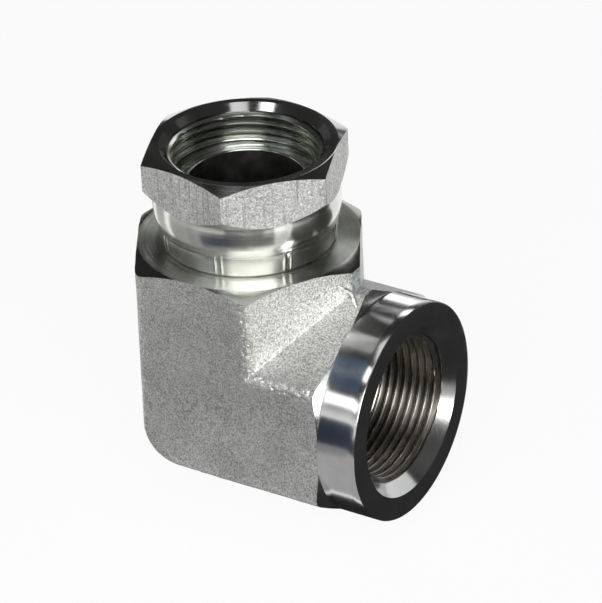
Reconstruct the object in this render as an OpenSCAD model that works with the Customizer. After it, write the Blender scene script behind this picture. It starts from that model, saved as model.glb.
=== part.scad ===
// Swivel elbow for 1 1/4 inch parallel pipe thread. A forged elbow has a fixed
// female port along +X and a collar along +Z. A hexagonal swivel nut turns on
// the collar, held there by its own skirt, which is crimped in under the collar.
// The origin is the centre of the fixed port's end face, and +Z is up. Heights
// in the sections below are measured from the fixed port's axis, and reaches
// along X from the swivel axis.

/* [Elbow forging] */
// Size across the flats of both hexagonal legs
leg_flats = 60; // [58:0.5:63]
// How far the legs' corners are rounded back from sharp
leg_corner_cut = 0.6; // [0.2:0.1:1.2]
// Radius of the outer bend on the flat side faces
bend_r = 9.8; // [6:0.2:14]
// Height of the turned face on top of the upright leg
top_h = 41.2; // [39:0.2:43]
// How far the turned top face reaches past the middle of the flats
top_face_over = 0.1; // [0.05:0.05:0.8]
// Slope of the turned cone around the top face, in degrees
top_cone_a = 30; // [15:1:45]

/* [Fixed port] */
// Reach of the port's end face from the swivel axis
port_reach = 49.5; // [47:0.5:60]
// Length of the turned ring at the port
ring_len = 11.5; // [8:0.5:13]
// How far the turned ring stands out past the middle of the flats
ring_proud = 0.3; // [0.1:0.1:1]
// Slope of the shoulder that ends the hexagon at the ring, in degrees
shoulder_a = 15.5; // [5:0.5:30]
// Minor diameter of the 1 1/4 inch pipe thread in both ports
thread_minor_d = 38.952; // [37.5:0.002:39.6]
// Depth of the threaded bore from the port's face
port_thread_depth = 23; // [16:0.5:24]
// Diameter of the mouth of the fixed port
port_mouth_d = 47.6; // [43:0.2:50]

/* [Flow passage] */
// Diameter of the drilled passage through both legs
flow_d = 31; // [26:0.5:33]
// How far each drilled passage runs on past the other's axis
drill_past = 4; // [0:0.5:6]
// Point angle of the drills, in degrees
drill_point_a = 118; // [100:1:135]
// Break of the passage's edge at the collar's face
flow_edge = 0.3; // [0.1:0.1:0.8]

/* [Collar] */
// Height of the collar's flat end face
collar_h = 59; // [57:0.2:63]
// Length of the collar's cylinder, from its end face down
collar_len = 8.2; // [6:0.2:9]
// Diameter of the collar
collar_d = 42.6; // [41.6:0.1:43.4]
// Bevel of the collar's outer edge at its end face
collar_edge = 0.4; // [0.2:0.1:0.8]
// How far the collar stands out past the neck under it
collar_step = 2.1; // [1.9:0.1:2.7]

/* [Swivel nut] */
// Size across the flats of the nut
nut_flats = 50; // [48:0.5:56]
// How far the nut's corners are rounded back from sharp
nut_corner_cut = 0.5; // [0.2:0.1:1]
// Turn of the nut about its axis at rest, in degrees
nut_turn = -70.85; // [-90:0.05:90]
// Rise of the nut's top face above the collar's face
nut_rise = 10.5; // [8:0.5:16]
// Height of the hexagon in the middle of a flat
nut_hex_len = 13; // [11:0.5:14]
// How far the turned top face stays short of the middle of the flats
nut_face_inset = 0.15; // [0.05:0.05:0.6]
// Slope of the cone around the nut's top face, in degrees
nut_cone_a = 24; // [15:1:35]
// Diameter of the mouth of the swivel port
nut_mouth_d = 45.6; // [42.5:0.1:46.5]
// Play between the nut and the collar, all round and endways
nut_play = 0.15; // [0.05:0.05:0.3]

/* [Crimped skirt] */
// Diameter of the skirt above the crimp
skirt_d = 50.8; // [50:0.1:52.4]
// Gap between the skirt's lower edge and the elbow's top face
skirt_gap = 0.7; // [0.4:0.1:1.2]
// Height of the crimped band
crimp_len = 5.7; // [5:0.1:6.4]
// How far the band is pressed in at its top, on the radius
crimp_press = 1.2; // [0.9:0.1:1.4]
// Further taper of the band down to its lower edge, on the radius
crimp_taper = 0.7; // [0.2:0.1:0.9]
// Bevel of the skirt's lower edge
skirt_edge = 0.5; // [0.2:0.1:0.8]
// Number of crimping dies, each of which leaves a gap rib
crimp_ribs = 8; // [6:1:12]
// Width of a gap rib
rib_w = 2; // [1:0.1:3]
// How far a gap rib stands out of the band
rib_proud = 0.25; // [0.1:0.05:0.4]
// Turn of the first gap rib about the nut's axis, in degrees
rib_turn = -78; // [-90:1:90]

/* [Hidden] */
$fn = 96;
// A length past every surface, for cuts and envelopes
far = 100;
leg_in_r = leg_flats/2;
leg_out_r = leg_flats/sqrt(3);
leg_corner_r = leg_out_r - leg_corner_cut;
// The bend's axis lies this far outside both port axes
bend_off = leg_out_r/2 - bend_r;
top_face_r = leg_in_r + top_face_over;
ring_r = leg_in_r + ring_proud;
ring_start = port_reach - ring_len;
thread_r = thread_minor_d/2;
port_mouth_r = port_mouth_d/2;
flow_r = flow_d/2;
collar_r = collar_d/2;
neck_r = collar_r - collar_step;
collar_low = collar_h - collar_len;
nut_in_r = nut_flats/2;
nut_out_r = nut_flats/sqrt(3);
nut_corner_r = nut_out_r - nut_corner_cut;
nut_top = collar_h + nut_rise;
nut_low = top_h + skirt_gap;
nut_hex_low = nut_top - nut_hex_len;
nut_face_r = nut_in_r - nut_face_inset;
nut_mouth_r = nut_mouth_d/2;
nut_bore_r = collar_r + nut_play;
skirt_r = skirt_d/2;
skirt_wall = skirt_r - nut_bore_r;
// Height over which the skirt flares from the flats to its own diameter, and
// how far the flare runs on inside the hexagon
skirt_flare = 1 + abs(skirt_r - nut_in_r);
flare_run = 0.3;
crimp_top = nut_low + crimp_len;
band_top_r = skirt_r - crimp_press;
band_low_r = band_top_r - crimp_taper;
// Foot of the nut's bore, from where its 45 degree seat keeps the play square
// to the collar's underside
nut_bore_low = collar_low - nut_play*(sqrt(2) - 1);

// Drop of a drill point over the given radius
function drill_drop(r) = r/tan(drill_point_a/2);

// Round body whose profile points are [radius, height]
module turned(profile) {
    rotate_extrude() polygon(profile);
}

// Lays an upright shape down, so that its height runs along +X
module along_x() {
    rotate([0, 90, 0]) children();
}

// Moves a shape from the crossing of the two axes to the port's face
module from_port_face() {
    translate([-port_reach, 0, 0]) children();
}

// Hexagon with rounded corners, the first of them on +X
module hexagon(out_r, corner_r) {
    intersection() {
        circle(r = out_r, $fn = 6);
        circle(r = corner_r);
    }
}

module leg(length) {
    translate([0, 0, -bend_off])
        linear_extrude(height = bend_off + length) hexagon(leg_out_r, leg_corner_r);
}

// Quarter turn of the legs' section that closes the outer bend
module outer_bend() {
    translate([-bend_off, 0, -bend_off])
        rotate([-90, 0, 180])
            rotate_extrude(angle = 90)
                intersection() {
                    translate([-bend_off, 0]) hexagon(leg_out_r, leg_corner_r);
                    translate([0, -far]) square([far, 2*far]);
                }
}

// Upright leg under its turned top face and cone
module upright_leg() {
    intersection() {
        leg(top_h + 1);
        turned([
            [0, -far],
            [far, -far],
            [far, top_h - (far - top_face_r)*tan(top_cone_a)],
            [top_face_r, top_h],
            [0, top_h]
        ]);
    }
}

// Lying leg up to the shoulder behind the turned ring
module lying_leg() {
    intersection() {
        along_x() leg(ring_start + 1);
        along_x() turned([
            [0, -far],
            [far, -far],
            [far, ring_start - (far - ring_r)*tan(shoulder_a)],
            [ring_r, ring_start],
            [0, ring_start]
        ]);
    }
    translate([ring_start, 0, 0]) along_x() cylinder(r = ring_r, h = ring_len);
}

// Neck and collar that carry the swivel nut
module collar() {
    turned([
        [0, 0],
        [neck_r, 0],
        [neck_r, collar_low - collar_step],
        [collar_r, collar_low],
        [collar_r, collar_h - collar_edge],
        [collar_r - collar_edge, collar_h],
        [0, collar_h]
    ]);
}

// Drilled passage down from the collar's face
module swivel_passage() {
    turned([
        [0, -drill_past - drill_drop(flow_r)],
        [flow_r, -drill_past],
        [flow_r, collar_h - flow_edge],
        [flow_r + flow_edge + 1, collar_h + 1],
        [0, collar_h + 1]
    ]);
}

// Drilled and tapped passage in from the fixed port's face
module port_passage() {
    thread_end = port_reach - port_thread_depth;
    along_x() turned([
        [0, -drill_past - drill_drop(flow_r)],
        [flow_r, -drill_past],
        [flow_r, thread_end - drill_drop(thread_r - flow_r)],
        [thread_r, thread_end],
        [thread_r, port_reach - (port_mouth_r - thread_r)],
        [port_mouth_r + 1, port_reach + 1],
        [0, port_reach + 1]
    ]);
}

module elbow_body() {
    color([0.62, 0.63, 0.61])
        from_port_face()
            difference() {
                union() {
                    upright_leg();
                    lying_leg();
                    outer_bend();
                    collar();
                }
                swivel_passage();
                port_passage();
            }
}

// Hexagon of the nut, turned to a cone above and below
module nut_hexagon() {
    intersection() {
        translate([0, 0, nut_hex_low - 2])
            linear_extrude(height = nut_hex_len + 3) hexagon(nut_out_r, nut_corner_r);
        turned([
            [0, nut_hex_low - 1],
            [nut_in_r - 1, nut_hex_low - 1],
            [nut_out_r, nut_hex_low + nut_out_r - nut_in_r],
            [nut_out_r, nut_top - (nut_out_r - nut_face_r)*tan(nut_cone_a)],
            [nut_face_r, nut_top],
            [0, nut_top]
        ]);
    }
}

// Skirt under the hexagon, pressed in to a band at its lower end
module skirt() {
    turned([
        [0, nut_low],
        [band_low_r - skirt_edge, nut_low],
        [band_low_r, nut_low + skirt_edge],
        [band_top_r, crimp_top],
        [skirt_r, collar_low + nut_play],
        [skirt_r, nut_hex_low - skirt_flare],
        [nut_in_r - flare_run, nut_hex_low + flare_run],
        [0, nut_hex_low + flare_run]
    ]);
}

// Ribs that squeeze out between the crimping dies and fade into the skirt above
module gap_ribs() {
    rib_top = crimp_top + 1 + rib_proud*(collar_low - crimp_top)/crimp_press;
    for (k = [0:crimp_ribs - 1])
        rotate([0, 0, rib_turn + k*360/crimp_ribs])
            intersection() {
                translate([nut_bore_r, -rib_w/2, nut_low + skirt_edge])
                    cube([far, rib_w, rib_top - nut_low - skirt_edge]);
                turned([
                    [0, nut_low],
                    [band_low_r + rib_proud, nut_low],
                    [band_top_r + rib_proud, crimp_top],
                    [band_top_r + rib_proud, rib_top],
                    [0, rib_top]
                ]);
            }
}

// Threaded mouth, bore over the collar, and throat of the crimped lip
module nut_bore() {
    lip_r = band_top_r - skirt_wall;
    shoulder = collar_h + nut_play;
    turned([
        [0, nut_low - 1],
        [lip_r, nut_low - 1],
        [lip_r, nut_bore_low - (nut_bore_r - lip_r)],
        [nut_bore_r, nut_bore_low],
        [nut_bore_r, shoulder],
        [thread_r, shoulder],
        [thread_r, nut_top - (nut_mouth_r - thread_r)],
        [nut_mouth_r + 1, nut_top + 1],
        [0, nut_top + 1]
    ]);
}

module swivel_nut() {
    color([0.70, 0.71, 0.70])
        from_port_face()
            difference() {
                union() {
                    rotate([0, 0, nut_turn]) nut_hexagon();
                    skirt();
                    gap_ribs();
                }
                nut_bore();
            }
}

elbow_body();
swivel_nut();
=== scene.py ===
"""Swivel elbow, zinc-plated forged steel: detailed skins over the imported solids.

Sizes are in millimetres, and places are measured from the crossing of the two
port axes. `to_world` turns them into metres in the shared frame, whose origin
is the middle of the fixed port's end face.
"""
import math

import bmesh
import bpy
import numpy as np
from mathutils import Matrix, Vector, noise


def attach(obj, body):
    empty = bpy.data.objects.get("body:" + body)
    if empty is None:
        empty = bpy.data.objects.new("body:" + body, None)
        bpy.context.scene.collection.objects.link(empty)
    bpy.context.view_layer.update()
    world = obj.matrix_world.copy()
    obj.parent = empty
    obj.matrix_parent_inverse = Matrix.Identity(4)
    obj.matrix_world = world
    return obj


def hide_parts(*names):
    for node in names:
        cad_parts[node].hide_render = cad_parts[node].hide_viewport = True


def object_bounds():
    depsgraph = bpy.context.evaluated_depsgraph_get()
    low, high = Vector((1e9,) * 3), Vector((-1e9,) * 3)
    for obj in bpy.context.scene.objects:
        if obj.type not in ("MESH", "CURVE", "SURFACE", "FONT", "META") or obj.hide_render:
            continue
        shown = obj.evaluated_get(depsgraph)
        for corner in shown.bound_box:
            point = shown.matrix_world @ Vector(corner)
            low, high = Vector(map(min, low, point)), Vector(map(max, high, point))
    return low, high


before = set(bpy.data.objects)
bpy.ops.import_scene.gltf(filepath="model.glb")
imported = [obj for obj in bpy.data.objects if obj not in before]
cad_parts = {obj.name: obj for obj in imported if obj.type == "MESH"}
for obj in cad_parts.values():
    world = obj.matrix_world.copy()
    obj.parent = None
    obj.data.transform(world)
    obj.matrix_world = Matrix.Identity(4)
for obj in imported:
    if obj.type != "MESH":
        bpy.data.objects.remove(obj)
cad_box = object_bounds()

MM = 0.001
TAU = 2 * math.pi
PORT_REACH = 49.5

# Elbow forging
LEG_IN_R = 30.0
LEG_CORNER_R = 34.04
LEG_CORNER_SOFT = 0.8
LEG_ROWS = 42
BEND_PIVOT = -7.52
BEND_ROWS = 22
CROTCH_FILLET = 0.1
FORGED_UNDER = 0.1
# Nicks start where the hexagon reaches this far out, and deepen over the run
CORNER_START = 33.0
CORNER_RUN = 0.9
CREASE_REACH = 0.9
SCAR_DEPTH = 0.6
# Land where the flash was sheared off, and the burr beside it
TRIM_REACH = 33.4
TRIM_HALF = 2.15
TRIM_HALF_OUT = 1.1
BURR_REACH = 5.2
BURR_OFFSET = 2.25
BURR_SPREAD = 0.62
BURR_LEAN = 0.577
BURR_R = 0.6
BURR_LEAST_R = 0.01
BURR_JOG = 0.22
BURR_RISE = 0.15
BURR_TURN_REACH = 0.6
BURR_RINGS = 57
BURR_SIDES = 10
# Turned top of the upright leg
TOP_H = 41.2
TOP_FACE_R = 30.1
TOP_CONE = math.tan(math.radians(30))
# How far from a turned end the hexagon's radius is read, for the cone that cuts it
CONE_SAMPLE = 1.0
# Fixed port
RING_START = 38.0
RING_R = 30.3
RING_EDGE = 0.22
SHOULDER = math.tan(math.radians(15.5))
PORT_MOUTH_R = 23.8
PORT_THREAD_END = 26.5
PORT_GROOVE = 44.6
PORT_RUN_OUT = 2.6
# Pipe thread, 11 to the inch
THREAD_PITCH = 2.309
THREAD_MINOR_R = 19.476
THREAD_MAJOR_R = 20.955
THREAD_FLANK = math.tan(math.radians(27.5))
ROOT_ROUND = 0.18
CREST_ROUND = 0.12
CUT_LEAST = 1e-6
# Flow passage
FLOW_R = 15.5
FLOW_EDGE = 0.5
DRILL_PAST = 4.0
DRILL_SLOPE = math.tan(math.radians(59))
TIP_ROWS = 10
BISECTIONS = 50
# Neck and collar
NECK_R = 19.2
NECK_FILLET = 0.8
FILLET_MIDDLE = 0.25
COLLAR_H = 59.0
COLLAR_LOW = 50.8
COLLAR_R = 21.3
COLLAR_CHAMFER = 0.4
# Swivel nut
NUT_IN_R = 25.0
NUT_CORNER_R = 28.9
NUT_CORNER_SOFT = 0.3
NUT_TURN = math.radians(-70.85)
NUT_TOP = 69.5
NUT_HEX_LOW = 56.5
NUT_HEX_ROWS = 14
NUT_FORGED_UNDER = 0.07
NUT_FACE_R = 24.85
NUT_CONE = math.tan(math.radians(24))
EDGE_ROW = 0.08
NUT_MOUTH_R = 22.8
SINK_END_R = 20.8
SINK_FALL = 1.5
NUT_BORE_R = 21.45
NUT_SHOULDER = 59.15
NUT_BORE_LOW = 50.738
LIP_R = 20.25
LIP_TOP = 49.54
LIP_EDGE = 0.3
# A groove's middle stands at 65.7, 127 degrees of helix on from the first column
NUT_GROOVE = 65.7 - 127 / 360 * THREAD_PITCH
# Skirt, with pairs of upright marks between the crimping dies
NUT_LOW = 41.55
SKIRT_TOP_R = 25.0
RIB_COUNT = 8
RIB_TURN = math.radians(-77.3)
RIB_R = 24.0
RIB_HALF = 0.9
RIB_SOFT = 0.17
RIB_PROUD = 0.2
# Height, radius and share of the marks' full size, from the foot up
SKIRT_ROWS = [(NUT_LOW, 23.3, 0), (NUT_LOW + 0.5, 23.75, 0), (NUT_LOW + 0.9, 23.8, 0.7),
              (43.6, 23.91, 1), (45.0, 24.08, 1), (46.4, 24.24, 1),
              (47.2, 24.33, 0.8), (47.6, 24.37, 0.5), (47.8, 24.49, 0.2),
              (48.3, 24.53, 0), (49.0, 24.73, 0), (50.0, 24.98, 0),
              (50.6, 25.1, 0), (51.2, 25.18, 0), (52.0, 25.25, 0),
              (52.8, 25.27, 0), (53.6, 25.26, 0), (54.4, 25.23, 0),
              (55.0, 25.18, 0), (55.5, 25.12, 0), (56.1, 25.03, 0)]

# Material places on each mesh. COLLAR is also the nut's top cone and countersink
FORGED, TRIMMED, TURNED, FACE, COLLAR, TOP, CONE, THREAD, BORE, BURR = range(10)


def to_world(points):
    """Millimetres from the crossing to metres in the shared frame."""
    return (np.asarray(points, float) - [PORT_REACH, 0, 0]) * MM


def smooth_min(a, b, k):
    """The smaller of two values, rounded over where they are within k."""
    h = np.clip(0.5 + 0.5 * (b - a) / k, 0, 1)
    return b * (1 - h) + a * h - k * h * (1 - h)


def smooth_step(t):
    """From 0 to 1 without a corner at either end."""
    t = np.clip(t, 0, 1)
    return t * t * (3 - 2 * t)


def hexagon_radius(angle, in_r, corner_r, first_corner, blend):
    """Radius of a hexagon with softened corners at each angle."""
    off = (angle - first_corner) % (TAU / 6) - TAU / 12
    return smooth_min(in_r / np.cos(off), np.full_like(off, corner_r), blend)


def unevenness(points, size, amount, seed):
    """Unevenness of a forged face, at each point, in millimetres."""
    flat = np.asarray(points, float).reshape(-1, 3) / size + seed
    values = [noise.noise(Vector(p)) for p in flat]
    return amount * np.array(values).reshape(np.shape(points)[:-1])


class Skin:
    """A closed tube of point rows, each row with the same columns."""

    WELD = 2e-6
    NO_SIZE = 1e-7
    SHARP = math.radians(32)

    def __init__(self, angles):
        self.angles = angles
        self.rows = []
        self.bands = []

    def add(self, row, band):
        """Next row; band is the material between it and the row before."""
        self.rows.append(row)
        self.bands.append(band)

    def lying(self, x, r, band):
        """Next row, round the fixed port's axis."""
        a = self.angles
        self.add(np.stack([x + 0 * a, r * np.sin(a), r * np.cos(a)], 1), band)

    def standing(self, z, r, band):
        """Next row, round the swivel axis."""
        a = self.angles
        self.add(np.stack([r * np.cos(a), r * np.sin(a), z + 0 * a], 1), band)

    def mesh(self, name, beads=()):
        """Welds the rows, the last one back to the first, into a mesh.

        beads are burrs, closed shapes as (points, faces).
        """
        grid = np.array(self.rows)
        count, cols = grid.shape[:2]
        verts = to_world(grid.reshape(-1, 3))
        faces, mats = [], []
        for i in range(count):
            low = ((i - 1) % count) * cols
            here = i * cols
            for j in range(cols - 1):
                faces.append((low + j, low + j + 1, here + j + 1, here + j))
            mats += list(np.broadcast_to(self.bands[i], cols)[:-1])
        for points, shape in beads:
            faces += [tuple(v + len(verts) for v in face) for face in shape]
            mats += [BURR] * len(shape)
            verts = np.concatenate([verts, points])
        made = bpy.data.meshes.new(name)
        made.from_pydata(verts.tolist(), [], faces)
        made.polygons.foreach_set("material_index", mats)
        bm = bmesh.new()
        bm.from_mesh(made)
        bmesh.ops.remove_doubles(bm, verts=bm.verts, dist=self.WELD)
        bmesh.ops.dissolve_degenerate(bm, dist=self.NO_SIZE, edges=bm.edges)
        bmesh.ops.recalc_face_normals(bm, faces=bm.faces)
        open_edges = sum(not e.is_manifold for e in bm.edges)
        print(f"{name}: {len(bm.faces)} faces, {open_edges} open edges")
        bm.to_mesh(made)
        bm.free()
        made.shade_smooth()
        made.set_sharp_from_angle(angle=self.SHARP)
        return made


def closed(angles):
    """The angles with the first one repeated a full turn on."""
    return np.append(angles, angles[0] + TAU)


# Offsets along one pitch at which a thread row is laid
THREAD_STEPS = np.array([-1.1, -1.0, -0.9, -0.72, -0.45, -0.24, -0.12,
                         0.0, 0.12, 0.24, 0.45, 0.72, 0.9, 1.0])


def thread_radius(along):
    """Radius of the cut thread, with a groove's middle at along = 0."""
    off = np.abs((along + THREAD_PITCH / 2) % THREAD_PITCH - THREAD_PITCH / 2)
    root_half = (THREAD_PITCH / 2 - THREAD_FLANK * (THREAD_MAJOR_R - THREAD_MINOR_R)) / 2
    flank = THREAD_MAJOR_R - (off - root_half) / THREAD_FLANK
    cut = smooth_min(flank, np.full_like(off, THREAD_MAJOR_R), ROOT_ROUND)
    return -smooth_min(-cut, np.full_like(off, -THREAD_MINOR_R), CREST_ROUND)


def thread_rows(angles, low, high, groove, hand, mouth, run_out):
    """Rows of a tapped bore from low to high, as (along, radius) pairs.

    The rows follow the helix, so that its crests are clean lines. groove is
    where a groove's middle crosses the first column, mouth gives the bore's
    own radius at each place, and run_out is the length over which the thread
    fades in at its inner end.
    """
    turn = hand * angles / TAU * THREAD_PITCH
    first = math.floor((low - groove) / THREAD_PITCH) - 2
    last = math.ceil((high - groove) / THREAD_PITCH) + 2
    places = [low + 0 * angles]
    for k in range(first, last):
        for step in THREAD_STEPS:
            along = groove + k * THREAD_PITCH + step + turn
            if np.any(along > low) and np.any(along < high):
                places.append(np.clip(along, low, high))
    places.append(high + 0 * angles)
    rows = []
    for along in places:
        cut = thread_radius(along - groove - turn)
        if run_out:
            fade = smooth_step((along - low) / run_out)
            cut = THREAD_MINOR_R + (cut - THREAD_MINOR_R) * fade
        rows.append((along, np.maximum(cut, mouth(along))))
    return rows


# Elbow body
def body_angles():
    """Columns round a leg, closer together beside the hexagon's corners."""
    half_side, calm_half = 30, 21
    fine, coarse = 18, 24
    near = np.linspace(-half_side, -calm_half, fine, endpoint=False)
    middle = np.linspace(-calm_half, calm_half, coarse, endpoint=False)
    far = np.linspace(calm_half, half_side, fine, endpoint=False)
    side = np.concatenate([near, middle, far]) + half_side
    return np.radians(np.concatenate([side + 60 * k for k in range(6)]))


class Forging:
    """The legs' hexagon, column by column round each port axis."""

    def __init__(self, angles):
        self.cos, self.sin = np.cos(angles), np.sin(angles)
        self.hexagon = hexagon_radius(angles, LEG_IN_R, LEG_CORNER_R, 0.0, LEG_CORNER_SOFT)
        self.reach = self.hexagon * self.cos
        self.corner = smooth_step((self.hexagon - CORNER_START) / CORNER_RUN)
        # Each column turns the bend about its own centre: outside, the bend's
        # pivot, and inside, the small fillet that follows the mitre
        fillet = np.clip(self.reach - BEND_PIVOT, 0, CROTCH_FILLET)
        self.centre = np.where(self.reach < BEND_PIVOT, BEND_PIVOT, self.reach + fillet)
        # The flash was sheared off along the parting line. Inside the bend that
        # cut the corner flat, and outside it only shows as a narrow band
        no_limit = 99.0
        self.trim_limit = np.where(self.cos > 0.9, TRIM_REACH / np.maximum(self.cos, 0.5), no_limit)
        land_half = np.where(self.cos > 0, TRIM_HALF, TRIM_HALF_OUT)
        self.finish = np.where(np.abs(self.hexagon * self.sin) < land_half, TRIMMED, FORGED)

    def radius(self, x, z):
        """Radius of the forged surface; x and z are its place without flaws."""
        points = np.stack([x, self.hexagon * self.sin, z], 1)
        slow = unevenness(points, size=11.0, amount=0.16, seed=3.1)
        quick = unevenness(points, size=3.2, amount=0.07, seed=7.7)
        forged = np.minimum(self.hexagon - FORGED_UNDER + slow + quick,
                            self.trim_limit + 0.5 * quick)
        # Nicks lie along the corners, and cracks in the crease
        nicks = np.maximum(0, unevenness(points, size=0.75, amount=1.0, seed=2.3) - 0.12)
        nicks = nicks * self.corner
        past_crease = np.maximum(x, z) - self.reach
        cracks = np.maximum(0, unevenness(points, size=1.3, amount=1.0, seed=4.6) - 0.25)
        cracks = cracks * np.exp(-(past_crease / CREASE_REACH) ** 2) * (self.cos > 0.3)
        return forged - SCAR_DEPTH * nicks - SCAR_DEPTH * cracks


def port_mouth(x):
    """Radius of the fixed port's bore with its 45 degree mouth."""
    return np.maximum(THREAD_MINOR_R, PORT_MOUTH_R - (PORT_REACH - x))


def add_port(skin):
    """Passage cone, thread, mouth, end face and ring."""
    skin.lying(PORT_THREAD_END - (THREAD_MINOR_R - FLOW_R) / DRILL_SLOPE, FLOW_R, BORE)
    skin.lying(PORT_THREAD_END, THREAD_MINOR_R, BORE)
    for x, r in thread_rows(skin.angles, PORT_THREAD_END, PORT_REACH, PORT_GROOVE, -1,
                            port_mouth, PORT_RUN_OUT):
        skin.lying(x, r, np.where(r > port_mouth(x) + CUT_LEAST, THREAD, TURNED))
    face_edge = RING_R - RING_EDGE
    for r in (26.0, 28.0, face_edge):
        skin.lying(PORT_REACH, r, FACE)
    skin.lying(PORT_REACH - 0.07, face_edge + 0.15, TURNED)
    for x in (PORT_REACH - RING_EDGE, 47.0, 44.0, 41.0, RING_START):
        skin.lying(x, RING_R, TURNED)


def add_legs(skin, forging):
    """Shoulder, lying leg, bend and upright leg; returns the last row's radius."""
    reach, centre = forging.reach, forging.centre
    x_end = np.full_like(reach, RING_START)
    for _ in range(2):
        end_r = forging.radius(x_end, reach)
        x_end = RING_START - np.maximum(0, end_r - RING_R) * SHOULDER
    skin.lying(x_end, end_r, TURNED)
    for i in range(1, LEG_ROWS + 1):
        x = x_end + (centre - x_end) * i / LEG_ROWS
        skin.lying(x, forging.radius(x, reach), forging.finish)
    for i in range(1, BEND_ROWS + 1):
        turn = math.pi / 2 * i / BEND_ROWS
        swing = centre - reach
        r = forging.radius(centre - swing * math.sin(turn), centre - swing * math.cos(turn))
        swing = centre - r * forging.cos
        row = np.stack([centre - swing * math.sin(turn), r * forging.sin,
                        centre - swing * math.cos(turn)], 1)
        skin.add(row, forging.finish)
    top_r = forging.radius(reach, np.full_like(reach, TOP_H - CONE_SAMPLE))
    z_top = TOP_H - np.maximum(0, top_r - TOP_FACE_R) * TOP_CONE
    for i in range(1, LEG_ROWS + 1):
        z = centre + (z_top - centre) * i / LEG_ROWS
        r = top_r if i == LEG_ROWS else forging.radius(reach, z)
        skin.standing(z, r, forging.finish)
    return top_r


def add_turned_top(skin, top_r):
    """Cone, face, neck, collar and the rounded edge of its passage."""
    skin.standing(TOP_H, np.minimum(top_r, TOP_FACE_R), CONE)
    for r in (29.0, 27.0, 25.0, 23.0, 21.0, NECK_R + NECK_FILLET):
        skin.standing(TOP_H, r, TOP)
    for z, r in [(TOP_H + FILLET_MIDDLE, NECK_R + FILLET_MIDDLE), (TOP_H + NECK_FILLET, NECK_R),
                 (COLLAR_LOW - COLLAR_R + NECK_R, NECK_R), (COLLAR_LOW, COLLAR_R),
                 (COLLAR_H - COLLAR_CHAMFER, COLLAR_R), (COLLAR_H, COLLAR_R - COLLAR_CHAMFER)]:
        skin.standing(z, r, COLLAR)
    for r in (19.5, 17.5, FLOW_R + FLOW_EDGE):
        skin.standing(COLLAR_H, r, COLLAR)
    for turn in np.radians([12, 24, 38, 56, 74, 90]):
        skin.standing(COLLAR_H - FLOW_EDGE * (1 - math.cos(turn)),
                      FLOW_R + FLOW_EDGE * (1 - math.sin(turn)), COLLAR)


def drill_point(side, off):
    """Place along a drill's axis of its point's surface, at an offset from that axis."""
    return -DRILL_PAST - (FLOW_R - np.hypot(side, off)) / DRILL_SLOPE


def add_passages(skin):
    """Upright passage, and the bend where it meets the lying one.

    The two meet on the mitre inside, and over both drill points outside.
    """
    for z in (40.0, 28.0):
        skin.standing(z, FLOW_R, BORE)
    across, side = FLOW_R * np.cos(skin.angles), FLOW_R * np.sin(skin.angles)
    skin.standing(np.maximum(across, -DRILL_PAST), FLOW_R, BORE)
    outside = across <= -DRILL_PAST
    low, high = np.full_like(across, -FLOW_R), np.full_like(across, -DRILL_PAST)
    for _ in range(BISECTIONS):
        middle = (low + high) / 2
        below = middle < drill_point(side, middle)
        low, high = np.where(below, middle, low), np.where(below, high, middle)
    meet = np.where(outside, middle, across)
    for i in range(1, TIP_ROWS + 1):
        x = across + (meet - across) * i / TIP_ROWS
        z = np.where(outside, drill_point(side, x), across)
        skin.add(np.stack([x, side, z], 1), BORE)
    for i in range(1, TIP_ROWS + 1):
        z = meet + (across - meet) * i / TIP_ROWS
        x = np.where(outside, drill_point(side, z), across)
        skin.add(np.stack([x, side, z], 1), BORE)


def burr_bead():
    """Ragged burr beside the sheared land, as points in metres and faces.

    It runs down the upright leg to the crease and out along the lying one.
    """
    turns = [TAU * k / BURR_SIDES for k in range(BURR_SIDES)]
    rings = []
    for step in np.linspace(-BURR_REACH, BURR_REACH, BURR_RINGS):
        off = abs(step)
        y = -(BURR_OFFSET + BURR_SPREAD * off)
        level = LEG_IN_R / math.cos(math.pi / 6) - abs(y) * math.tan(math.pi / 6) - FORGED_UNDER
        jog = noise.noise(Vector((step * 1.7, -4.0, 0.3)))
        swell = 1 + 0.9 * noise.noise(Vector((step * 2.6, -9.0, 5.1)))
        taper = math.sqrt(max(0.0, 1 - (off / BURR_REACH) ** 4))
        radius = BURR_R * swell * taper + BURR_LEAST_R
        # From 0 on the upright leg to 1 on the lying one
        blend = max(-1.0, min(1.0, step / BURR_TURN_REACH)) / 2 + 0.5
        run = Vector((blend, -BURR_SPREAD * (2 * blend - 1), blend - 1)).normalized()
        out = Vector((1 - blend, -BURR_LEAN, blend)).normalized()
        other = run.cross(out).normalized()
        middle = Vector((level + max(0, step), y, level + max(0, -step)))
        middle += Vector((0.0, BURR_JOG * jog, 0.0))
        middle += out * BURR_RISE
        rings.append([middle + (out * math.cos(t) + other * math.sin(t)) * radius for t in turns])
    verts = to_world([v for ring in rings for v in ring])
    faces = [tuple(range(BURR_SIDES)), tuple(reversed(range(len(verts) - BURR_SIDES, len(verts))))]
    for i in range(len(rings) - 1):
        here, onward = i * BURR_SIDES, (i + 1) * BURR_SIDES
        for k in range(BURR_SIDES):
            n = (k + 1) % BURR_SIDES
            faces.append((here + k, here + n, onward + n, onward + k))
    return verts, faces


def elbow_skin():
    """The elbow body, from the fixed port over the legs to the collar and back inside."""
    skin = Skin(closed(body_angles()))
    add_port(skin)
    top_r = add_legs(skin, Forging(skin.angles))
    add_turned_top(skin, top_r)
    add_passages(skin)
    return skin.mesh("elbow_skin", [burr_bead()])


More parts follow.
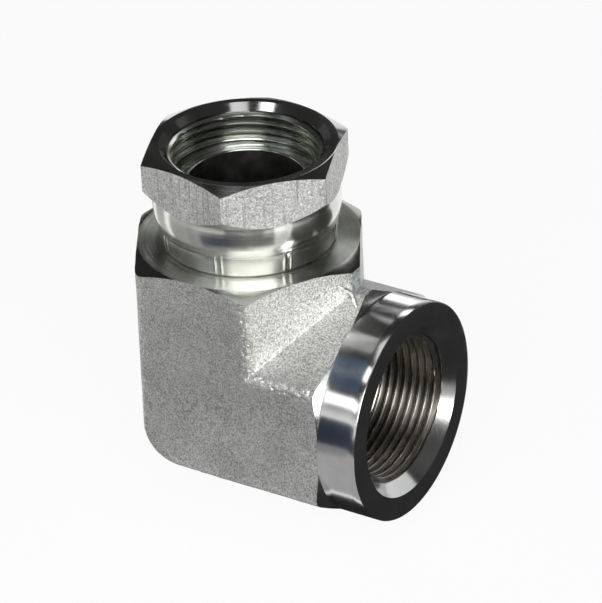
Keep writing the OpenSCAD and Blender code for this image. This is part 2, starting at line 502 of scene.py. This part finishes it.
# Swivel nut
def nut_angles():
    """Columns round the nut, with more at the crimp marks and the corners."""
    every, least_gap = math.radians(1.25), math.radians(0.17)
    angles = list(np.arange(0, TAU - 1e-6, every))
    for k in range(RIB_COUNT):
        middle = RIB_TURN + k * TAU / RIB_COUNT
        for off in (0.6, 0.75, 0.9, 1.05, 1.2):
            angles += [middle - off / RIB_R, middle + off / RIB_R]
    for k in range(6):
        corner = NUT_TURN + k * TAU / 6
        angles += [corner + math.radians(d) for d in (-2.1, -1.4, -0.7, 0, 0.7, 1.4, 2.1)]
    angles = np.unique(np.round(np.array(angles) % TAU, 6))
    keep = [angles[0]]
    for value in angles[1:]:
        if value - keep[-1] > least_gap:
            keep.append(value)
    return np.array(keep)


def crimp_marks(angles):
    """How much of a crimp mark stands at each column, from 0 to 1."""
    pitch = TAU / RIB_COUNT
    off = (angles - RIB_TURN + pitch / 2) % pitch - pitch / 2
    return np.exp(-((np.abs(off * RIB_R) - RIB_HALF) / RIB_SOFT) ** 2)


def add_skirt(skin):
    """Skirt from its foot up to the hexagon, crimped in its lower band."""
    marks = crimp_marks(skin.angles)
    skin.standing(NUT_LOW, LIP_R + LIP_EDGE, TURNED)
    for z, r, share in SKIRT_ROWS:
        skin.standing(z, r + RIB_PROUD * marks * share, TURNED)
    skin.standing(NUT_HEX_LOW + SKIRT_TOP_R - NUT_IN_R, SKIRT_TOP_R, TURNED)


def add_nut_hexagon(skin):
    """Forged hexagon between its two turned cones, and the flat top face."""
    a = skin.angles
    hexagon = hexagon_radius(a, NUT_IN_R, NUT_CORNER_R, NUT_TURN, NUT_CORNER_SOFT)

    def forged_radius(z):
        points = np.stack([hexagon * np.cos(a), hexagon * np.sin(a), z + 0 * a], 1)
        return (hexagon - NUT_FORGED_UNDER + unevenness(points, size=8.0, amount=0.09, seed=5.3)
                + unevenness(points, size=2.6, amount=0.04, seed=9.1))

    low_r = forged_radius(NUT_HEX_LOW + CONE_SAMPLE)
    z_low = NUT_HEX_LOW + np.maximum(0, low_r - NUT_IN_R)
    skin.standing(z_low, low_r, TURNED)
    high_r = forged_radius(NUT_TOP - CONE_SAMPLE)
    z_high = NUT_TOP - np.maximum(0, high_r - NUT_FACE_R) * NUT_CONE
    for i in range(1, NUT_HEX_ROWS + 1):
        z = z_low + (z_high - z_low) * i / NUT_HEX_ROWS
        r = high_r if i == NUT_HEX_ROWS else forged_radius(z)
        skin.standing(z, r, FORGED)
    # A row close to the face's edge on either side keeps cone and face crisp
    edge_r = np.minimum(high_r, NUT_FACE_R + EDGE_ROW)
    skin.standing(NUT_TOP - np.maximum(0, edge_r - NUT_FACE_R) * NUT_CONE, edge_r, COLLAR)
    skin.standing(NUT_TOP, np.minimum(high_r, NUT_FACE_R), COLLAR)
    for r in (NUT_FACE_R - EDGE_ROW, 24.0, 23.4, NUT_MOUTH_R):
        skin.standing(NUT_TOP, r, FACE)


def nut_mouth(z):
    """Radius of the nut's bore with its shallow countersink."""
    sink = NUT_MOUTH_R - (NUT_TOP - z)
    return np.maximum(THREAD_MINOR_R, sink - SINK_FALL * np.maximum(0, SINK_END_R - sink))


def add_nut_bore(skin):
    """Threaded mouth, bore over the collar and the lip under it."""
    rows = thread_rows(skin.angles, NUT_SHOULDER, NUT_TOP, NUT_GROOVE, 1, nut_mouth, 0)
    for z, r in reversed(rows):
        cut = (r > nut_mouth(z) + CUT_LEAST) | (r < SINK_END_R)
        skin.standing(z, r, np.where(cut, THREAD, COLLAR))
    for z, r in [(NUT_SHOULDER, NUT_BORE_R), (NUT_BORE_LOW, NUT_BORE_R), (LIP_TOP, LIP_R),
                 (NUT_LOW + LIP_EDGE, LIP_R)]:
        skin.standing(z, r, TURNED)


def nut_skin():
    """The swivel nut, from the skirt's foot over the hexagon and down its bore."""
    skin = Skin(closed(nut_angles()))
    add_skirt(skin)
    add_nut_hexagon(skin)
    add_nut_bore(skin)
    return skin.mesh("nut_skin")


# Materials
class Nodes:
    """Short hand for building a material's node tree."""

    def __init__(self, tree):
        self.tree = tree

    def add(self, kind, inputs=None, **settings):
        node = self.tree.nodes.new(kind)
        for key, value in settings.items():
            setattr(node, key, value)
        for key, value in (inputs or {}).items():
            if isinstance(value, bpy.types.NodeSocket):
                self.tree.links.new(value, node.inputs[key])
            else:
                node.inputs[key].default_value = value
        return node

    def math(self, operation, a, b=0.0, clamp=False):
        return self.add("ShaderNodeMath", {0: a, 1: b}, operation=operation,
                        use_clamp=clamp).outputs[0]

    def span(self, value, from_min, from_max, to_min, to_max):
        return self.add("ShaderNodeMapRange", {0: value, 1: from_min, 2: from_max,
                                               3: to_min, 4: to_max}).outputs[0]

    def mix_color(self, fac, a, b):
        return self.add("ShaderNodeMix", {0: fac, 6: a, 7: b}, data_type="RGBA").outputs[2]


def new_material(name):
    made = bpy.data.materials.new(name)
    made.use_nodes = True
    made.node_tree.nodes.clear()
    return made, Nodes(made.node_tree)


def finish_material(n, shader):
    n.add("ShaderNodeOutputMaterial", {"Surface": shader})


def forged_zinc(name, light, dark, seed, drawn=0.0):
    """Shot-blasted, zinc-plated forging: a fine dimpled grain that glints.

    drawn adds the faint upright lines of a drawn hexagon bar.
    """
    made, n = new_material(name)
    place = n.add("ShaderNodeTexCoord").outputs["Object"]
    grain = n.add("ShaderNodeTexNoise", {"Vector": place, "Scale": 2200.0, "Detail": 2.0,
                                         "Roughness": 0.6}, noise_dimensions="3D").outputs[0]
    dimples = n.add("ShaderNodeTexVoronoi", {"Vector": place, "Scale": 1900.0, "Randomness": 1.0},
                    feature="SMOOTH_F1").outputs["Distance"]
    cloud = n.add("ShaderNodeTexNoise", {"Vector": place, "Scale": 90.0 + seed, "Detail": 4.0,
                                         "Roughness": 0.55}).outputs[0]
    blotch = n.add("ShaderNodeTexNoise", {"Vector": place, "Scale": 750.0, "Detail": 2.0,
                                          "Roughness": 0.6}).outputs[0]
    speck = n.span(grain, 0.36, 0.60, 0.0, 1.0)
    patch = n.span(n.math("ADD", n.math("MULTIPLY", cloud, 0.4), n.math("MULTIPLY", blotch, 0.6)),
                   0.36, 0.64, 0.0, 1.0)
    shade = n.math("ADD", n.math("MULTIPLY", speck, 0.7), n.math("MULTIPLY", patch, 0.3))
    rough = n.span(grain, 0.3, 0.7, 0.56, 0.36)
    height = n.math("ADD", n.math("ADD", grain, n.math("MULTIPLY", dimples, 0.45)),
                    n.math("MULTIPLY", blotch, 1.2))
    if drawn:
        upright = n.add("ShaderNodeMapping", {"Vector": place, "Scale": (1.0, 1.0, 0.03)},
                        vector_type="POINT").outputs[0]
        lines = n.add("ShaderNodeTexNoise", {"Vector": upright, "Scale": 1300.0, "Detail": 2.0,
                                             "Roughness": 0.6}).outputs[0]
        height = n.math("ADD", height, n.math("MULTIPLY", lines, drawn))
        shade = n.math("MULTIPLY", shade, n.span(lines, 0.32, 0.44, 0.3, 1.0))
    color = n.mix_color(shade, dark, light)
    bump = n.add("ShaderNodeBump", {"Height": height, "Strength": 1.0,
                                    "Distance": 0.00013}).outputs[0]
    shader = n.add("ShaderNodeBsdfPrincipled", {
        "Base Color": color, "Metallic": 1.0, "Roughness": rough, "Normal": bump})
    finish_material(n, shader.outputs[0])
    return made


def turned_zinc(name, axis, base, tint, roughness, groove_depth, groove_scale, lay,
                painted_root_shade=None):
    """Turned, zinc-plated steel: rings of fine tool marks about one axis.

    root is the colour painted into a thread's grooves towards their bottoms: painted shade.
    """
    made, n = new_material(name)
    place = n.add("ShaderNodeTexCoord").outputs["Object"]
    xyz = n.add("ShaderNodeSeparateXYZ", {0: place}).outputs
    if axis == "X":
        u, v, along = xyz[1], xyz[2], xyz[0]
        direction = (1.0, 0.0, 0.0)
    else:
        u, v, along = n.math("ADD", xyz[0], PORT_REACH * MM), xyz[1], xyz[2]
        direction = (0.0, 0.0, 1.0)
    radius = n.math("SQRT", n.math("ADD", n.math("MULTIPLY", u, u), n.math("MULTIPLY", v, v)))
    travel = n.math("ADD", radius, along)
    marks = n.add("ShaderNodeTexNoise", {"W": travel, "Scale": groove_scale, "Detail": 3.0,
                                         "Roughness": 0.7}, noise_dimensions="1D").outputs[0]
    cloud = n.add("ShaderNodeTexNoise", {"Vector": place, "Scale": 120.0, "Detail": 3.0,
                                         "Roughness": 0.5}).outputs[0]
    color = n.mix_color(n.span(cloud, 0.35, 0.65, 0.0, 1.0), tint, base)
    # Painted shade: the colour darkens towards the bottoms of the thread's grooves
    if painted_root_shade:
        depth = n.span(radius, (THREAD_MAJOR_R - 0.6) * MM, (THREAD_MAJOR_R - 0.1) * MM, 0.0, 1.0)
        color = n.mix_color(depth, color, painted_root_shade)
    rough = n.math("ADD", n.span(marks, 0.3, 0.7, roughness * 0.85, roughness * 1.15),
                   n.span(cloud, 0.3, 0.7, -0.02, 0.03))
    bump = n.add("ShaderNodeBump", {"Height": marks, "Strength": 1.0,
                                    "Distance": groove_depth}).outputs[0]
    # The tangent runs around the axis; the quarter turn spreads highlights
    # across the tool marks
    centre = (0.0, 0.0, 0.0) if axis == "X" else (-PORT_REACH * MM, 0.0, 0.0)
    arm = n.add("ShaderNodeVectorMath", {0: place, 1: centre}, operation="SUBTRACT").outputs[0]
    around = n.add("ShaderNodeVectorMath", {0: direction, 1: arm},
                   operation="CROSS_PRODUCT").outputs[0]
    tangent = n.add("ShaderNodeVectorTransform", {0: around}, vector_type="VECTOR",
                    convert_from="OBJECT", convert_to="WORLD").outputs[0]
    shader = n.add("ShaderNodeBsdfPrincipled", {
        "Base Color": color, "Metallic": 1.0, "Roughness": rough, "Normal": bump,
        "Anisotropic": lay, "Anisotropic Rotation": 0.25, "Tangent": tangent})
    finish_material(n, shader.outputs[0])
    return made


def sheared_zinc(name):
    """Land where the flash was sheared off: dull, with marks across it."""
    made, n = new_material(name)
    place = n.add("ShaderNodeTexCoord").outputs["Object"]
    across = n.add("ShaderNodeMapping", {"Vector": place, "Scale": (1.0, 0.25, 1.0)},
                   vector_type="POINT").outputs[0]
    marks = n.add("ShaderNodeTexNoise", {"Vector": across, "Scale": 1500.0, "Detail": 3.0,
                                         "Roughness": 0.65}).outputs[0]
    color = n.mix_color(n.span(marks, 0.35, 0.65, 0.0, 1.0), (0.30, 0.32, 0.32, 1),
                        (0.72, 0.74, 0.74, 1))
    bump = n.add("ShaderNodeBump", {"Height": marks, "Strength": 1.0,
                                    "Distance": 0.0003}).outputs[0]
    shader = n.add("ShaderNodeBsdfPrincipled", {
        "Base Color": color, "Metallic": 0.55, "Roughness": 0.5, "Normal": bump})
    finish_material(n, shader.outputs[0])
    return made


def plain_zinc(name, light, dark, roughness, grain_depth):
    """Cut, zinc-plated steel without a lay: threads and drilled holes."""
    made, n = new_material(name)
    place = n.add("ShaderNodeTexCoord").outputs["Object"]
    grain = n.add("ShaderNodeTexNoise", {"Vector": place, "Scale": 1800.0, "Detail": 2.0,
                                         "Roughness": 0.5}).outputs[0]
    cloud = n.add("ShaderNodeTexNoise", {"Vector": place, "Scale": 260.0, "Detail": 3.0,
                                         "Roughness": 0.6}).outputs[0]
    color = n.mix_color(n.span(cloud, 0.36, 0.64, 0.0, 1.0), dark, light)
    rough = n.span(cloud, 0.3, 0.7, roughness * 0.85, roughness * 1.2)
    bump = n.add("ShaderNodeBump", {"Height": grain, "Strength": 1.0,
                                    "Distance": grain_depth}).outputs[0]
    shader = n.add("ShaderNodeBsdfPrincipled", {
        "Base Color": color, "Metallic": 1.0, "Roughness": rough, "Normal": bump})
    finish_material(n, shader.outputs[0])
    return made


def dressed(name, mesh, body, node, materials):
    """Makes a skin a piece that rides on a body and stands for a node."""
    piece = bpy.data.objects.new(name, mesh)
    bpy.context.scene.collection.objects.link(piece)
    for material in materials:
        piece.data.materials.append(material)
    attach(piece, body)
    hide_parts(node)


BRIGHT, DULL = (0.76, 0.77, 0.76, 1), (0.66, 0.67, 0.66, 1)
# The drilled passages get a dark copy of the plated steel: painted shade in the deep bores
bore_zinc_painted_shade = plain_zinc("bore_zinc_painted_shade", (0.22, 0.22, 0.21, 1), (0.15, 0.15, 0.14, 1),
                       roughness=0.42, grain_depth=0.00001)


def body_materials():
    """The body's materials, in the order of the material places."""
    return [
        forged_zinc("forged_zinc_body", (1.0, 1.0, 0.97, 1), (0.27, 0.27, 0.26, 1), seed=0.0),
        sheared_zinc("sheared_zinc"),
        turned_zinc("turned_zinc_ring", "X", BRIGHT, DULL, roughness=0.17,
                    groove_depth=0.000006, groove_scale=2600.0, lay=0.6),
        turned_zinc("faced_zinc_port", "X", BRIGHT, DULL, roughness=0.14,
                    groove_depth=0.000003, groove_scale=2600.0, lay=0.4),
        turned_zinc("turned_zinc_collar", "Z", BRIGHT, DULL, roughness=0.17,
                    groove_depth=0.000004, groove_scale=2200.0, lay=0.5),
        turned_zinc("faced_zinc_top", "Z", (0.74, 0.76, 0.71, 1), (0.50, 0.52, 0.48, 1),
                    roughness=0.36, groove_depth=0.00016, groove_scale=1500.0, lay=0.9),
        turned_zinc("turned_zinc_cone", "Z", (0.54, 0.56, 0.52, 1), (0.46, 0.48, 0.44, 1),
                    roughness=0.2, groove_depth=0.00002, groove_scale=1700.0, lay=0.6),
        turned_zinc("thread_zinc_port", "X", (0.74, 0.71, 0.65, 1), (0.54, 0.51, 0.45, 1),
                    roughness=0.26, groove_depth=0.00001, groove_scale=2600.0, lay=0.75,
                    painted_root_shade=(0.16, 0.14, 0.11, 1)),
        bore_zinc_painted_shade,
        # The burr is a real ridge; its near-white colour is painted highlight
        plain_zinc("burr_zinc_painted_highlight", (1.0, 1.0, 0.98, 1), (0.85, 0.85, 0.84, 1),
                   roughness=0.4, grain_depth=0.00004)]


def nut_materials():
    """The nut's materials; it has no faces at the places that take bore_zinc_painted_shade."""
    return [
        forged_zinc("forged_zinc_nut", (1.0, 1.0, 0.98, 1), (0.34, 0.34, 0.33, 1),
                    seed=7.0, drawn=0.8),
        bore_zinc_painted_shade,
        turned_zinc("turned_zinc_skirt", "Z", (0.92, 0.91, 0.85, 1), (0.80, 0.80, 0.76, 1),
                    roughness=0.18, groove_depth=0.000004, groove_scale=2200.0, lay=0.8),
        turned_zinc("faced_zinc_nut", "Z", BRIGHT, DULL, roughness=0.11,
                    groove_depth=0.000002, groove_scale=2200.0, lay=0.3),
        turned_zinc("turned_zinc_mouth", "Z", BRIGHT, DULL, roughness=0.13,
                    groove_depth=0.000003, groove_scale=2200.0, lay=0.5),
        bore_zinc_painted_shade,
        bore_zinc_painted_shade,
        turned_zinc("thread_zinc_nut", "Z", (0.86, 0.88, 0.82, 1), (0.68, 0.71, 0.64, 1),
                    roughness=0.22, groove_depth=0.000003, groove_scale=2200.0, lay=0.7,
                    painted_root_shade=(0.09, 0.10, 0.08, 1)),
        bore_zinc_painted_shade]


dressed("elbow_body_skin", elbow_skin(), "elbow", "elbow_body", body_materials())
dressed("swivel_nut_skin", nut_skin(), "nut", "swivel_nut", nut_materials())


# Stage
FLOOR_Z = cad_box[0][2] - 0.0001
FLOOR_SIZE = 12
FLOOR_WHITE = 0.93
LAMP_DISTANCE = 0.9
LAMP_AIM = (-0.040, 0.0, 0.02)
WALL_DISTANCE = 600
PLAIN = (1, 1, 1)
SKY_BLUE = (0.5, 0.62, 1.0)
DEEP_BLUE = (0.4, 0.64, 1.0)


def add_floor():
    """Pale floor: white to the camera and in reflections, with the shadow."""
    bpy.ops.mesh.primitive_plane_add(size=FLOOR_SIZE, location=(0, 0, FLOOR_Z))
    floor = bpy.context.object
    floor.name = "floor"
    made, n = new_material("floor")
    rays = n.add("ShaderNodeLightPath").outputs
    seen = n.math("ADD", rays["Is Camera Ray"], rays["Is Glossy Ray"])
    seen = n.math("ADD", seen, rays["Is Transmission Ray"], clamp=True)
    white = n.add("ShaderNodeEmission", {"Color": (1, 1, 1, 1), "Strength": 1.0}).outputs[0]
    lit = n.add("ShaderNodeBsdfDiffuse", {"Color": (1.0, 1.0, 1.0, 1)}).outputs[0]
    share = n.math("MULTIPLY", seen, FLOOR_WHITE)
    shader = n.add("ShaderNodeMixShader", {0: share, 1: lit, 2: white}).outputs[0]
    finish_material(n, shader)
    floor.data.materials.append(made)


def add_world():
    """Studio room: pale up to just above the horizon, nearly unlit higher up."""
    pale_to, dark_from = (math.sin(math.radians(v)) for v in (9, 19))
    world = bpy.data.worlds.new("studio")
    bpy.context.scene.world = world
    world.use_nodes = True
    world.node_tree.nodes.clear()
    n = Nodes(world.node_tree)
    place = n.add("ShaderNodeTexCoord").outputs["Generated"]
    rise = n.add("ShaderNodeSeparateXYZ", {0: place}).outputs[2]
    level = n.span(rise, pale_to, dark_from, 0.0, 1.0)
    color = n.mix_color(level, (0.9, 0.9, 0.9, 1), (0.024, 0.024, 0.023, 1))
    back = n.add("ShaderNodeBackground", {"Color": color, "Strength": 1.0}).outputs[0]
    n.add("ShaderNodeOutputWorld", {"Surface": back})


def toward(azimuth, elevation):
    """Direction from two angles in degrees, with azimuth 0 along +X."""
    az, el = math.radians(azimuth), math.radians(elevation)
    return Vector((math.cos(el) * math.cos(az), math.cos(el) * math.sin(az), math.sin(el)))


def add_softbox(name, azimuth, elevation, wide, high, radiance):
    """Rectangular light facing the object; wide and high are in degrees."""
    light = bpy.data.lights.new(name, "AREA")
    light.shape = "RECTANGLE"
    light.size = 2 * LAMP_DISTANCE * math.tan(math.radians(wide / 2))
    light.size_y = 2 * LAMP_DISTANCE * math.tan(math.radians(high / 2))
    light.energy = radiance * math.pi * light.size * light.size_y
    lamp = bpy.data.objects.new(name, light)
    bpy.context.scene.collection.objects.link(lamp)
    away = toward(azimuth, elevation)
    lamp.location = Vector(LAMP_AIM) + away * LAMP_DISTANCE
    lamp.rotation_euler = away.to_track_quat("Z", "Y").to_euler()
    lamp.visible_camera = False


def add_card(name, grey, corners, tint=PLAIN):
    """Card that only reflections see, as a studio's cards stay out of shot."""
    mesh = bpy.data.meshes.new(name)
    mesh.from_pydata([[v * MM for v in c] for c in corners], [], [range(len(corners))])
    card = bpy.data.objects.new(name, mesh)
    bpy.context.scene.collection.objects.link(card)
    made, n = new_material(name)
    shader = n.add("ShaderNodeEmission", {"Color": (*tint, 1), "Strength": grey})
    finish_material(n, shader.outputs[0])
    card.data.materials.append(made)
    card.visible_camera = False
    card.visible_diffuse = False
    card.visible_shadow = False


def lying_card(name, grey, layer, outline):
    """Card on the floor; outline is in millimetres in the shared frame."""
    z = FLOOR_Z / MM + 0.05 * layer
    add_card(name, grey, [(x, y, z) for x, y in outline])


def wall_card(name, grey, start, end, low, high):
    """Upright card over a range of azimuths and elevations, in degrees."""
    z0, z1 = (math.tan(math.radians(v)) * WALL_DISTANCE for v in (low, high))
    mid, half = math.radians((start + end) / 2), math.radians((end - start) / 2)
    reach, side = WALL_DISTANCE * math.cos(half), WALL_DISTANCE * math.sin(half)
    c, d = math.cos(mid), math.sin(mid)
    left = (-PORT_REACH + reach * c + side * d, reach * d - side * c)
    right = (-PORT_REACH + reach * c - side * d, reach * d + side * c)
    add_card(name, grey, [(*left, z0), (*right, z0), (*right, z1), (*left, z1)])


def strip_card(name, grey, spot, start, end, width, distance, tint=PLAIN):
    """Near card that runs between two directions seen from one spot, in mm."""
    a, b = (Vector(spot) + toward(*way) * distance for way in (start, end))
    side = (b - a).cross((a + b) / 2 - Vector(spot)).normalized() * width / 2
    add_card(name, grey, [a + side, b + side, b - side, a - side], tint)


def from_nut(azimuth, reach):
    """Floor point in one direction from the swivel axis."""
    az = math.radians(azimuth)
    return (-PORT_REACH + reach * math.cos(az), reach * math.sin(az))


def sector(start, end, near, far):
    """Outline of a ring's sector on the floor round the swivel axis."""
    steps = [start + (end - start) * i / 6 for i in range(7)]
    return [from_nut(a, near) for a in steps] + [from_nut(a, far) for a in reversed(steps)]


# Name, azimuth, elevation, width and height in degrees, and radiance
SOFTBOXES = [("key", -56, 25, 52, 30, 5.0),
             ("key_high", -103, 56, 14, 14, 2.8),
             ("key_high_right", -50, 60, 16, 14, 1.1),
             ("top", -60, 86, 26, 26, 0.85),
             ("back_right", 108, 38, 14, 12, 2.2),
             ("back", 119, 9, 12, 16, 1.3),
             ("high_back", 132, 46, 8, 8, 0.7),
             ("high_left", -172, 62, 9, 9, 0.45),
             ("fill_right", 18, 37, 60, 18, 0.06),
             ("strip_left", -112, 23, 28, 9, 2.5),
             ("low_right", -28, 3, 24, 12, 5.4)]

# Name, grey, layer above the floor, and outline
FLOOR_CARDS = [
    ("card_port", 0.03, 1, [(-2, -32), (300, -32), (300, 500), (205, 500), (12, 120), (-2, 60)]),
    # Near-black card under the body, where the floor lies in its shadow: painted shadow that only
    # reflections see
    ("card_under_painted_shadow", 0.02, 2, [(-90, -28), (-2, -28), (-2, 60), (-90, 60)]),
    ("card_near", 0.43, 3, [(-130, -120), (10, -120), (10, -31), (-130, -31)]),
    ("card_front", 0.26, 4, sector(-132, -84, 80, 420)),
    ("card_skirt", 0.06, 4, sector(-84, -28, 120, 800)),
    ("card_skirt_right", 0.5, 4, sector(-28, -12, 118, 260)),
    ("card_behind", 0.05, 8, sector(86, 100, 260, 1200)),
    ("card_behind_mid", 0.05, 8, sector(100, 114, 190, 520)),
    ("card_behind_left", 0.05, 8, sector(114, 123, 190, 1200)),
    ("card_back", 0.05, 5, sector(124, 150, 40, 420)),
    ("card_left", 0.42, 6, sector(166, 190, 40, 420)),
    ("card_left_low", 0.32, 7, sector(-160, -132, 40, 420))]

# Name, grey, first and last azimuth, lowest and highest elevation
WALL_CARDS = [("wall_right", 0.04, 0, 88, -3, 22),
              ("wall_far_right", 0.04, 88, 104, -3, 19),
              ("wall_back", 0.05, 134, 186, -3, 22)]

add_floor()
add_world()
for softbox in SOFTBOXES:
    add_softbox(*softbox)
for card in FLOOR_CARDS:
    lying_card(*card)
for card in WALL_CARDS:
    wall_card(*card)
strip_card("strip_port", 0.85, (-1.5, 0, -22), (52, 31), (90, -4), width=40, distance=150)
strip_card("strip_ring", 0.135, (-6, -25, 20), (-122, 33), (-152, 60), width=60, distance=200,
           tint=DEEP_BLUE)
add_card("flag_front", 0.06, [(-92, -104, -33), (-15, -140, -33), (-15, -140, 20), (-92, -104, 20)],
         SKY_BLUE)


# Camera
def add_camera():
    """The photograph's camera, fitted to edge points of the object.

    Shifts and distance are in the ring's radius.
    """
    azimuth, elevation, roll = (math.radians(v) for v in (32.607, 29.931, 2.317))
    focal_px, frame_px, sensor = 4522.0, 603, 36.0
    shift_x, shift_y, distance = -0.4357, -0.5712, 40.624
    back = Vector((math.sin(azimuth) * math.cos(elevation),
                   -math.cos(azimuth) * math.cos(elevation), math.sin(elevation)))
    right = Vector((math.cos(azimuth), math.sin(azimuth), 0))
    up = back.cross(right)
    spot = (right * -shift_x + up * -shift_y + back * distance) * RING_R
    x_axis = right * math.cos(roll) - up * math.sin(roll)
    y_axis = right * math.sin(roll) + up * math.cos(roll)
    data = bpy.data.cameras.new("camera")
    data.lens = focal_px * sensor / frame_px
    data.sensor_width = sensor
    data.clip_start, data.clip_end = 0.05, 30.0
    camera = bpy.data.objects.new("camera", data)
    bpy.context.scene.collection.objects.link(camera)
    axes = Matrix((x_axis, y_axis, back)).transposed().to_4x4()
    axes.translation = Vector(to_world(spot))
    camera.matrix_world = axes
    bpy.context.scene.camera = camera


add_camera()
bpy.context.scene.view_settings.view_transform = "Standard"
